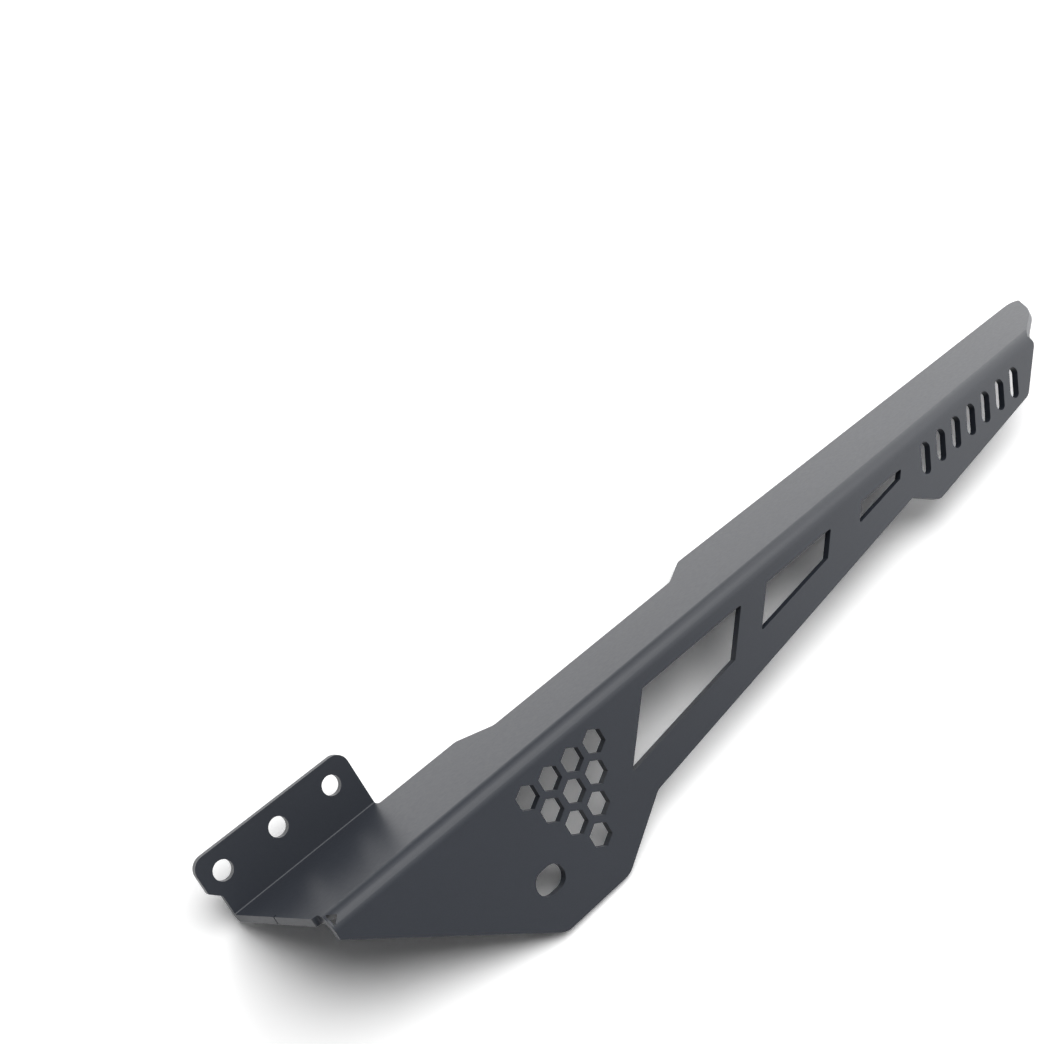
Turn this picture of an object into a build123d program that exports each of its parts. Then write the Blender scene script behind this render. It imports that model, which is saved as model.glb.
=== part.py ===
from build123d import *
import os
from math import atan, cos, degrees, radians, tan

# Motorcycle chain guard: one aluminium sheet, laser cut, folded twice and powder coated.
# A long fold joins the side plate to the flange that covers the chain. At the front a short fold turns
# a tab with three screw holes up from the flange's far edge.
# It is drawn square to the long fold and then laid down as it rests on a flat surface. As drawn, X runs
# back along the fold from the tab's first hole, Y runs across the flange away from the side plate, and
# Z points out of the flange. The flange's face is at z = 0 and the plate's outer face is at y = 0.
# All sizes are in millimetres and all angles in degrees.

# Sheet and folds
sheet = 2.7
fold_inner_radius = 2.2
tab_fold_inner_radius = 0.5

# Mounting tab
tab_face = 53.2
tab_height = 20.8
tab_front = -7.5
tab_rear = 50.7
tab_corner_radius = 4.4
tab_step_low = 7.0
tab_step_depth = 3.2
tab_root_radius = 1.2
hole_diameter = 6.6
hole_pitch = 21.0
hole_count = 3
hole_height = 13.3

# Flange outline
front_step_place = 7.5
front_step_depth = 1.8
front_step_radius = 0.7
front_nick_place = 29.4
front_nick_width = 0.6
front_nick_depth = 0.8
flange_front_reach = 49.9
flange_waist_reach = 38.5
waist_lead_in = 83.4
waist_front = 93.2
waist_rear = 177.6
waist_lead_out = 192.0
waist_corner_radius = 2.5
flange_rear_reach = 50.2
tail_taper = 2.55
tail_length = 394.0
tail_overhang = 47.8
tail_corner_radius = 3.5
tail_sweep_lead = 21.2
tail_sweep_reach = 18.6
tail_sweep_radius = 60.0

# Side plate outline
plate_front = 5.4
plate_front_depth = 7.2
foot_front = 62.6
foot_length = 27.4
foot_depth = 51.8
foot_front_radius = 7.0
foot_rear_radius = 7.0
foot_rise = 22.9
strip_front_depth = 37.3
strip_front_radius = 5.0
strip_rear_depth = 19.6
strip_rear_radius = 2.0
heel_rise = 10.8
heel_front_depth = 27.0
heel_front_radius = 4.0
heel_length = 62.0
heel_rear_depth = 19.1
heel_rear_radius = 5.0
heel_rear_lead = 14.8
plate_rear_depth = 4.9
plate_rear_radius = 3.0

# Three-cornered relief hole at the front of the long fold, measured square to the middle of the fold
relief_web = 0.7
relief_length = 2.7
relief_flange_side = 2.6
relief_plate_side = 2.3
relief_radius = 0.3

# Three windows along the strip, between two guide lines, with their ends leaning alike
window_top = 8.4
window_low_front = 26.8
window_low_rear = 11.1
window_front_lead = 13.3
window_rear_lead = 1.4
window_shares = (0.455, 0.327, 0.218)
window_bars = (12.9, 17.0)
window_lean = 46.5
window_radius = 0.4

# Slotted hole in the foot
slot_lead = 4.2
slot_depth = 35.8
slot_length = 10.7
slot_width = 8.2

# Triangle of six-sided holes, in rows that lose one hole at a time
mesh_lead = 25.8
mesh_depth = 11.3
mesh_pitch = 9.4
mesh_flats = 7.2
mesh_rows = 4

# Row of leaning vents in the heel
vent_rear_lead = 3.8
vent_pitch = 9.2
vent_count = 7
vent_depth = 11.5
vent_length = 11.6
vent_width = 4.3
vent_lean = 58.0

# Sizes that follow
fold_rear = tail_length - tail_overhang
foot_rear = foot_front + foot_length
strip_front = foot_rear + foot_rise
heel_rear = fold_rear - heel_rear_lead
heel_front = heel_rear - heel_length
strip_rear = heel_front - heel_rise
fold_outer_radius = fold_inner_radius + sheet
tab_fold_outer_radius = tab_fold_inner_radius + sheet
tab_fold_start = tab_face - tab_fold_inner_radius
front_at_tab = tab_front + tab_step_depth
front_step = plate_front - front_step_depth
front_slope = (front_step - front_at_tab) / (tab_fold_start - front_step_place)
fold_middle = fold_outer_radius * (1 - cos(radians(45)))
beyond = 10.0
through = 4 * sheet


def outline(corners):
    # A closed face from corners that each hold a place and a corner radius.
    places = [(x, y) for x, y, radius in corners]
    radii = [radius for x, y, radius in corners]
    return make_face(FilletPolyline(*places, radius=radii, close=True))


def folded_blank():
    # The section of the long fold, run along the whole length.
    reach = tab_fold_start
    corners = [
        (0, 0, fold_outer_radius),
        (reach, 0, 0),
        (reach, -sheet, 0),
        (sheet, -sheet, fold_inner_radius),
        (sheet, -foot_depth, 0),
        (0, -foot_depth, 0),
    ]
    start = tab_front - beyond
    return extrude(Plane.YZ.offset(start) * outline(corners), tail_length + beyond - start)


def flange_outline():
    # Seen from above. The front edge slants back from the tab and steps back once more before the fold.
    tail_reach = flange_rear_reach - (tail_length - waist_lead_out) * tan(radians(tail_taper))
    return outline([
        (plate_front, -beyond, 0),
        (plate_front, front_step_place, front_step_radius),
        (front_step, front_step_place, front_step_radius),
        (front_at_tab, tab_fold_start, 0),
        (tab_rear, tab_fold_start, 0),
        (tab_rear, flange_front_reach, tab_root_radius),
        (waist_lead_in, flange_front_reach, waist_corner_radius),
        (waist_front, flange_waist_reach, waist_corner_radius),
        (waist_rear, flange_waist_reach, waist_corner_radius),
        (waist_lead_out, flange_rear_reach, waist_corner_radius),
        (tail_length, tail_reach, tail_corner_radius),
        (tail_length - tail_sweep_lead, tail_sweep_reach, tail_sweep_radius),
        (fold_rear, fold_middle, 0),
        (fold_rear, -beyond, 0),
    ])


def plate_outline():
    # Seen from the side, from the front edge round the foot, the strip and the heel.
    return outline([
        (plate_front, beyond, 0),
        (plate_front, -plate_front_depth, 0),
        (foot_front, -foot_depth, foot_front_radius),
        (foot_rear, -foot_depth, foot_rear_radius),
        (strip_front, -strip_front_depth, strip_front_radius),
        (strip_rear, -strip_rear_depth, strip_rear_radius),
        (heel_front, -heel_front_depth, heel_front_radius),
        (heel_rear, -heel_rear_depth, heel_rear_radius),
        (fold_rear, -plate_rear_depth, plate_rear_radius),
        (fold_rear, beyond, 0),
    ])


def half_of_fold(side):
    # All that lies on one side of the plane that halves the long fold: +1 the flange, -1 the plate.
    size = 2 * (tail_length + tab_height)
    halving = Plane(origin=(0, 0, 0), x_dir=(1, 0, 0), z_dir=(0, side, side))
    return halving * Pos(0, 0, size / 2) * Box(2 * size, size, size)


def folded_sheet():
    # Each outline trims its own side of the folded blank, and the two meet halfway round the fold.
    blank = folded_blank()
    flange = blank & extrude(flange_outline(), tab_height, both=True) & half_of_fold(1)
    side_plane = Plane(origin=(0, 0, 0), x_dir=(1, 0, 0), z_dir=(0, -1, 0))
    plate = blank & extrude(side_plane * plate_outline(), tab_face, both=True) & half_of_fold(-1)
    return flange + plate


def tab():
    # The short fold and the tab, cut to the tab's outline.
    section = outline([
        (tab_fold_start - sheet, 0, 0),
        (tab_face, 0, tab_fold_inner_radius),
        (tab_face, tab_height, 0),
        (tab_face + sheet, tab_height, 0),
        (tab_face + sheet, -sheet, tab_fold_outer_radius),
        (tab_fold_start - sheet, -sheet, 0),
    ])
    folded = extrude(Plane.YZ.offset(tab_front) * section, tab_rear - tab_front)
    edge = outline([
        (front_at_tab, -sheet - beyond, 0),
        (front_at_tab, tab_step_low, 0),
        (tab_front, tab_step_low + tab_step_depth, 0),
        (tab_front, tab_height, tab_corner_radius),
        (tab_rear, tab_height, tab_corner_radius),
        (tab_rear, -sheet - beyond, 0),
    ])
    side_plane = Plane(origin=(0, tab_fold_start, 0), x_dir=(1, 0, 0), z_dir=(0, -1, 0))
    return folded & extrude(side_plane * edge, -through)


def through_plate(cut):
    # A cut-out drawn on the side plate, taken through the sheet.
    side_plane = Plane(origin=(0, 0, 0), x_dir=(1, 0, 0), z_dir=(0, -1, 0))
    return extrude(side_plane * cut, through / 2, both=True)


def windows():
    low_slope = (window_low_front - window_low_rear) / (strip_rear - strip_front)
    lean = 1 / tan(radians(window_lean))
    first = strip_front + window_front_lead
    last = strip_rear + window_rear_lead
    open_length = last - first - sum(window_bars)

    def low_corner(top):
        # Where a leaning end that starts at the top guide line meets the low one.
        drop = window_low_front - window_top - (top - strip_front) * low_slope
        drop = drop / (1 - lean * low_slope)
        return top - drop * lean, -window_top - drop

    cuts = []
    front = first
    for share, bar in zip(window_shares, (*window_bars, 0)):
        rear = front + share * open_length
        low_front = low_corner(front)
        low_rear = low_corner(rear)
        cuts.append(through_plate(outline([
            (front, -window_top, window_radius),
            (rear, -window_top, window_radius),
            (*low_rear, window_radius),
            (*low_front, window_radius),
        ])))
        front = rear + bar
    return cuts


def foot_slot():
    return through_plate(Pos(foot_front + slot_lead, -slot_depth) * SlotOverall(slot_length, slot_width))


def mesh_holes():
    row_drop = mesh_pitch * cos(radians(30))
    holes = []
    for row in range(mesh_rows):
        count = mesh_rows - row
        for i in range(count):
            place = foot_front + mesh_lead + (i - (count - 1) / 2) * mesh_pitch
            hole = RegularPolygon(mesh_flats / 2, 6, major_radius=False, rotation=30)
            holes.append(through_plate(Pos(place, -mesh_depth - row * row_drop) * hole))
    return holes


def vents():
    # Counted forwards from the rear of the heel.
    slot = SlotOverall(vent_length, vent_width, rotation=vent_lean)
    last = heel_rear - vent_rear_lead
    return [
        through_plate(Pos(last - i * vent_pitch, -vent_depth) * slot)
        for i in range(vent_count)
    ]


def tab_holes():
    drill = Rot(90, 0, 0) * Cylinder(hole_diameter / 2, through)
    return [Pos(i * hole_pitch, tab_face + sheet / 2, hole_height) * drill for i in range(hole_count)]


def relief_hole():
    # It lets the long fold end cleanly, and leaves a narrow web behind the front edge.
    normal = Vector(0, -1, 1).normalized()
    square_to_fold = Plane(origin=(0, 0, 0), x_dir=(1, 0, 0), z_dir=normal)
    front = plate_front + relief_web
    hole = outline([
        (front, relief_flange_side, relief_radius),
        (front + relief_length, 0, relief_radius),
        (front, -relief_plate_side, relief_radius),
    ])
    return extrude(square_to_fold * hole, fold_outer_radius + through, both=True)


def front_nick():
    # A small nick in the flange's front edge.
    edge = front_at_tab + (tab_fold_start - front_nick_place) * front_slope
    nick = Box(2 * front_nick_depth, front_nick_width, through)
    return Pos(edge, front_nick_place) * Rot(0, 0, -degrees(atan(front_slope))) * nick


def guard_as_drawn():
    body = folded_sheet() + tab()
    cuts = windows() + mesh_holes() + vents() + tab_holes()
    return body - [*cuts, foot_slot(), relief_hole(), front_nick()]


def resting_plane(guard):
    # The guard rests on the plate's foot and on the flange's rear edge, which touches at both of its
    # ends. The up direction is square to the plane through the three lowest points, and they are found
    # again as it turns.
    steps = 24
    points = [edge @ (i / steps) for edge in guard.edges() for i in range(steps + 1)]
    edge_centre = (waist_lead_out + tail_length) / 2
    foot = [p for p in points if p.Z < -foot_depth / 2]
    edge_front = [p for p in points if waist_rear < p.X < edge_centre and p.Y > flange_waist_reach]
    edge_rear = [p for p in points if p.X > edge_centre and p.Y > flange_waist_reach]
    up = Vector(0, -1, 1).normalized()
    for _ in range(8):
        low = [min(group, key=lambda p: p.dot(up)) for group in (foot, edge_front, edge_rear)]
        up = (low[2] - low[0]).cross(low[1] - low[0]).normalized()
    return Plane(origin=low[0], x_dir=Vector(1, 0, 0) - up * up.X, z_dir=up)


def lying_down(guard):
    # Turned onto its resting plane, with the middle of its footprint at the origin.
    laid = guard.moved(resting_plane(guard).location.inverse())
    box = laid.bounding_box()
    return Pos(-box.center().X, -box.center().Y, -box.min.Z) * laid


os.makedirs("parts", exist_ok=True)
chain_guard = lying_down(guard_as_drawn())
chain_guard.label = "chain_guard"
export_step(chain_guard, "parts/chain_guard.step")
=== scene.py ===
import bpy
import bmesh
import math
import numpy as np
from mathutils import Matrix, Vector


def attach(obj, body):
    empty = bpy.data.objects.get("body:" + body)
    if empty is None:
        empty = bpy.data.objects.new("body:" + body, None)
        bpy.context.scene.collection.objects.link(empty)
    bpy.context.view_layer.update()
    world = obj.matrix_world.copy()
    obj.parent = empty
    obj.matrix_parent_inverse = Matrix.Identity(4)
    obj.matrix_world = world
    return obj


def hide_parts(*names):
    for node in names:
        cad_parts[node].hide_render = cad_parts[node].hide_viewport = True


# Motorcycle chain guard: one folded sheet with a satin black powder coat, lying on a white floor.
# All sizes are in metres and all angles in degrees. X runs back along the guard and Z is up.

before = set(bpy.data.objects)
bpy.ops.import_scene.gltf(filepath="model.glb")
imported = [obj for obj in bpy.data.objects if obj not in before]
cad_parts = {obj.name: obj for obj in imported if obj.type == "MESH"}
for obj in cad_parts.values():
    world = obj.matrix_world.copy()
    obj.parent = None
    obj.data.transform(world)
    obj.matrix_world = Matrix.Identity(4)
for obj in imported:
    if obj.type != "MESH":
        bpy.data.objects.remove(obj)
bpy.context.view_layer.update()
scene = bpy.context.scene
scene.view_settings.view_transform = "Standard"
print("frame loaded:", ", ".join(sorted(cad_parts)))


# The camera, as it stood over the guard's front end.
camera = {
    "place": (-0.26485, -0.19494, 0.41824),
    "turn": (41.256, 2.835, -44.268),
    "focalLength": 51.72,       # mm
    "sensorWidth": 36.0,        # mm
    "clipStart": 0.01,
    "clipEnd": 50.0,
}


def addCamera(sizes):
    lensData = bpy.data.cameras.new("camera")
    lensData.lens = sizes["focalLength"]
    lensData.sensor_width = sizes["sensorWidth"]
    lensData.clip_start = sizes["clipStart"]
    lensData.clip_end = sizes["clipEnd"]
    item = bpy.data.objects.new("camera", lensData)
    scene.collection.objects.link(item)
    item.location = sizes["place"]
    item.rotation_euler = [math.radians(a) for a in sizes["turn"]]
    scene.camera = item


addCamera(camera)
print("camera placed")


# The satin powder coat: near black with a little blue, a fine orange peel and a finer grain.
powderCoat = {
    "color": (0.023, 0.027, 0.036),
    "driftScale": 18.0,         # waves of tone per metre
    "driftSpread": 0.06,        # how far the tone drifts either way, as a share
    "driftDetail": 3.0,
    "roughness": 0.39,
    "roughnessSpread": 0.02,
    "ior": 1.48,
    "peelScale": 700.0,         # orange peel, waves per metre
    "peelDepth": 0.000004,
    "grainScale": 4200.0,       # powder grain, waves per metre
    "grainSpread": 0.10,        # how far single grains differ in tone, as a share
    "grainDepth": 0.0000008,
    "fineDetail": 2.0,          # detail of the peel and the grain
    "noiseLow": 0.3,            # the noise mostly lies between these two
    "noiseHigh": 0.7,
}


def addNode(tree, kind, place, **settings):
    node = tree.nodes.new(kind)
    node.location = place
    for key, value in settings.items():
        setattr(node, key, value)
    return node


def addNoise(tree, place, coordinates, scale, detail):
    # Soft noise over the piece's own coordinates.
    noise = addNode(tree, "ShaderNodeTexNoise", place)
    noise.inputs["Scale"].default_value = scale
    noise.inputs["Detail"].default_value = detail
    tree.links.new(coordinates.outputs["Object"], noise.inputs["Vector"])
    return noise.outputs["Fac"]


def addSpread(tree, place, noise, middle, spread, sizes):
    # Turns a noise into values from middle - spread to middle + spread.
    node = addNode(tree, "ShaderNodeMapRange", place)
    node.inputs["From Min"].default_value = sizes["noiseLow"]
    node.inputs["From Max"].default_value = sizes["noiseHigh"]
    node.inputs["To Min"].default_value = middle - spread
    node.inputs["To Max"].default_value = middle + spread
    tree.links.new(noise, node.inputs["Value"])
    return node.outputs["Result"]


def makePowderCoat(sizes):
    # A slow noise drifts the tone. The peel and the grain raise the surface and vary its gloss and tone.
    material = bpy.data.materials.new("powderCoat")
    material.use_nodes = True
    tree = material.node_tree
    tree.nodes.clear()
    link = tree.links.new
    place = addNode(tree, "ShaderNodeTexCoord", (-1300, 0))
    drift = addNoise(tree, (-1050, 300), place, sizes["driftScale"], sizes["driftDetail"])
    grain = addNoise(tree, (-1050, 0), place, sizes["grainScale"], sizes["fineDetail"])
    peel = addNoise(tree, (-1050, -300), place, sizes["peelScale"], sizes["fineDetail"])

    tone = addSpread(tree, (-800, 300), drift, 1.0, sizes["driftSpread"], sizes)
    speck = addSpread(tree, (-800, 60), grain, 1.0, sizes["grainSpread"], sizes)
    both = addNode(tree, "ShaderNodeMath", (-600, 200), operation="MULTIPLY")
    link(tone, both.inputs[0])
    link(speck, both.inputs[1])
    color = addNode(tree, "ShaderNodeVectorMath", (-400, 200), operation="SCALE")
    color.inputs[0].default_value = sizes["color"]
    link(both.outputs["Value"], color.inputs["Scale"])
    gloss = addSpread(tree, (-600, -60), peel, sizes["roughness"], sizes["roughnessSpread"], sizes)

    peelBump = addNode(tree, "ShaderNodeBump", (-600, -320))
    peelBump.inputs["Distance"].default_value = sizes["peelDepth"]
    link(peel, peelBump.inputs["Height"])
    grainBump = addNode(tree, "ShaderNodeBump", (-400, -320))
    grainBump.inputs["Distance"].default_value = sizes["grainDepth"]
    link(grain, grainBump.inputs["Height"])
    link(peelBump.outputs["Normal"], grainBump.inputs["Normal"])

    shader = addNode(tree, "ShaderNodeBsdfPrincipled", (-150, 0))
    shader.inputs["IOR"].default_value = sizes["ior"]
    link(color.outputs["Vector"], shader.inputs["Base Color"])
    link(gloss, shader.inputs["Roughness"])
    link(grainBump.outputs["Normal"], shader.inputs["Normal"])
    output = addNode(tree, "ShaderNodeOutputMaterial", (150, 0))
    link(shader.outputs["BSDF"], output.inputs["Surface"])
    return material


coat = makePowderCoat(powderCoat)
print("powder coat made")


# The guard itself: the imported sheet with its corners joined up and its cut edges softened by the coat.
guard = {
    "joinWithin": 0.00001,
    "flatWithin": 0.6,          # faces that turn less than this are one flat
    "edgeSoftness": 0.00028,    # how wide the coat rounds a cut edge
    "edgeSteps": 3,
    "edgeAngle": 40.0,
    "flatWeight": 60,           # how strongly large flats hold the shading
}


def makeGuard(sizes, material):
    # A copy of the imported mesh, merged, with flat areas dissolved to single faces, then bevelled.
    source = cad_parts["chain_guard"]
    mesh = bpy.data.meshes.new("chainGuard")
    build = bmesh.new()
    build.from_mesh(source.data)
    bmesh.ops.remove_doubles(build, verts=build.verts, dist=sizes["joinWithin"])
    bmesh.ops.dissolve_limit(
        build, angle_limit=math.radians(sizes["flatWithin"]), verts=build.verts, edges=build.edges,
        use_dissolve_boundaries=False, delimit={"NORMAL"},
    )
    for face in build.faces:
        face.smooth = True
    build.to_mesh(mesh)
    build.free()
    mesh.materials.append(material)
    piece = bpy.data.objects.new("chainGuard", mesh)
    scene.collection.objects.link(piece)
    bevel = piece.modifiers.new("coatedEdge", "BEVEL")
    bevel.width = sizes["edgeSoftness"]
    bevel.segments = sizes["edgeSteps"]
    bevel.limit_method = "ANGLE"
    bevel.angle_limit = math.radians(sizes["edgeAngle"])
    bevel.use_clamp_overlap = True
    weigh = piece.modifiers.new("flatNormals", "WEIGHTED_NORMAL")
    weigh.mode = "FACE_AREA"
    weigh.weight = sizes["flatWeight"]
    weigh.keep_sharp = True
    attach(piece, "root")
    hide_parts("chain_guard")
    return piece


chainGuard = makeGuard(guard, coat)
print("guard made:", len(chainGuard.data.polygons), "faces before its bevel")


# What the camera and reflections see of the room, which the floor fades into far away.
room = {
    "color": (1.0, 1.0, 1.0, 1.0),
    "seen": 0.50,
    "light": 0.13,             # what the room adds to the lamps
}

# White floor: the camera and reflections see it a little over white, and it keeps the guard's shadow.
floor = {
    "halfSize": 6.0,
    "color": (0.90, 0.90, 0.90),
    "lift": (0.30, 0.30, 0.30),    # what the camera and reflections see on top of its own colour
    "fadeFrom": 0.6,                # distance from the middle
    "fadeTo": 2.1,
}


def addSeenRays(tree, place):
    # 1 for camera, glossy and transmission rays, and 0 for those that light the room.
    path = addNode(tree, "ShaderNodeLightPath", place)
    seen = addNode(tree, "ShaderNodeMath", (place[0] + 200, place[1]), operation="MAXIMUM")
    tree.links.new(path.outputs["Is Camera Ray"], seen.inputs[0])
    tree.links.new(path.outputs["Is Glossy Ray"], seen.inputs[1])
    seenAll = addNode(tree, "ShaderNodeMath", (place[0] + 400, place[1]), operation="MAXIMUM")
    tree.links.new(seen.outputs["Value"], seenAll.inputs[0])
    tree.links.new(path.outputs["Is Transmission Ray"], seenAll.inputs[1])
    return seenAll.outputs["Value"]


def makeFloor(sizes):
    # A square: each corner is half a side from the middle along X and along Y.
    mesh = bpy.data.meshes.new("floor")
    corners = sizes["halfSize"] * np.array([(-1, -1, 0), (1, -1, 0), (1, 1, 0), (-1, 1, 0)])
    mesh.from_pydata(corners.tolist(), [], [(0, 1, 2, 3)])
    piece = bpy.data.objects.new("floor", mesh)
    scene.collection.objects.link(piece)
    material = bpy.data.materials.new("floor")
    material.use_nodes = True
    tree = material.node_tree
    tree.nodes.clear()
    link = tree.links.new
    matte = addNode(tree, "ShaderNodeBsdfDiffuse", (0, 0))
    matte.inputs["Color"].default_value = (*sizes["color"], 1.0)
    seen = addSeenRays(tree, (-800, 200))
    lift = addNode(tree, "ShaderNodeVectorMath", (-200, 200), operation="SCALE")
    lift.inputs[0].default_value = sizes["lift"]
    link(seen, lift.inputs["Scale"])
    extra = addNode(tree, "ShaderNodeBsdfDiffuse", (0, 200))
    link(lift.outputs["Vector"], extra.inputs["Color"])
    near = addNode(tree, "ShaderNodeAddShader", (200, 100))
    link(extra.outputs["BSDF"], near.inputs[0])
    link(matte.outputs["BSDF"], near.inputs[1])

    # Where it is seen, the floor turns into the room with the distance from the middle.
    place = addNode(tree, "ShaderNodeTexCoord", (-800, -200))
    reach = addNode(tree, "ShaderNodeVectorMath", (-600, -200), operation="LENGTH")
    link(place.outputs["Object"], reach.inputs[0])
    fade = addNode(tree, "ShaderNodeMapRange", (-400, -200), interpolation_type="SMOOTHSTEP")
    fade.inputs["From Min"].default_value = sizes["fadeFrom"]
    fade.inputs["From Max"].default_value = sizes["fadeTo"]
    link(reach.outputs["Value"], fade.inputs["Value"])
    share = addNode(tree, "ShaderNodeMath", (-200, -100), operation="MULTIPLY")
    link(fade.outputs["Result"], share.inputs[0])
    link(seen, share.inputs[1])
    far = addNode(tree, "ShaderNodeEmission", (200, -100))
    far.inputs["Color"].default_value = room["color"]
    far.inputs["Strength"].default_value = room["seen"]
    blend = addNode(tree, "ShaderNodeMixShader", (400, 100))
    link(share.outputs["Value"], blend.inputs["Fac"])
    link(near.outputs["Shader"], blend.inputs[1])
    link(far.outputs["Emission"], blend.inputs[2])
    output = addNode(tree, "ShaderNodeOutputMaterial", (600, 100))
    link(blend.outputs["Shader"], output.inputs["Surface"])
    mesh.materials.append(material)


makeFloor(floor)
print("floor made")


# Soft studio light: a round lamp overhead, a wide low panel beyond the tail and the dim room.
studio = {
    "overheadLamp": {
        "shape": "ELLIPSE",
        "place": (0.25, 0.06, 1.60),
        "target": (0.0, 0.0, 0.0),
        "width": 1.9,
        "height": 1.9,
        "power": 25.0,
    },
    "tailPanel": {
        "shape": "RECTANGLE",
        "place": (2.2, 0.0, 1.5),
        "target": (0.0, 0.0, 1.5),
        "width": 6.0,
        "height": 3.0,
        "power": 112.0,
    },
}


def addLamp(name, sizes):
    # An area lamp that faces its target. The camera doesn't see the lamp itself.
    lampData = bpy.data.lights.new(name, "AREA")
    lampData.shape = sizes["shape"]
    lampData.size = sizes["width"]
    lampData.size_y = sizes["height"]
    lampData.energy = sizes["power"]
    lamp = bpy.data.objects.new(name, lampData)
    scene.collection.objects.link(lamp)
    lamp.location = sizes["place"]
    aim = Vector(sizes["target"]) - Vector(sizes["place"])
    lamp.rotation_euler = aim.to_track_quat("-Z", "Y").to_euler()
    lamp.visible_camera = False


def makeRoom(sizes):
    # A plain world, dim as a light and brighter where it is seen.
    world = bpy.data.worlds.new("room")
    world.use_nodes = True
    scene.world = world
    tree = world.node_tree
    tree.nodes.clear()
    link = tree.links.new
    seen = addSeenRays(tree, (-800, 200))
    strength = addNode(tree, "ShaderNodeMapRange", (-200, 200))
    strength.inputs["To Min"].default_value = sizes["light"]
    strength.inputs["To Max"].default_value = sizes["seen"]
    link(seen, strength.inputs["Value"])
    light = addNode(tree, "ShaderNodeBackground", (0, 200))
    light.inputs["Color"].default_value = sizes["color"]
    link(strength.outputs["Result"], light.inputs["Strength"])
    output = addNode(tree, "ShaderNodeOutputWorld", (200, 200))
    link(light.outputs["Background"], output.inputs["Surface"])


makeRoom(room)
for lampName, lampSizes in studio.items():
    addLamp(lampName, lampSizes)
print("studio lit")
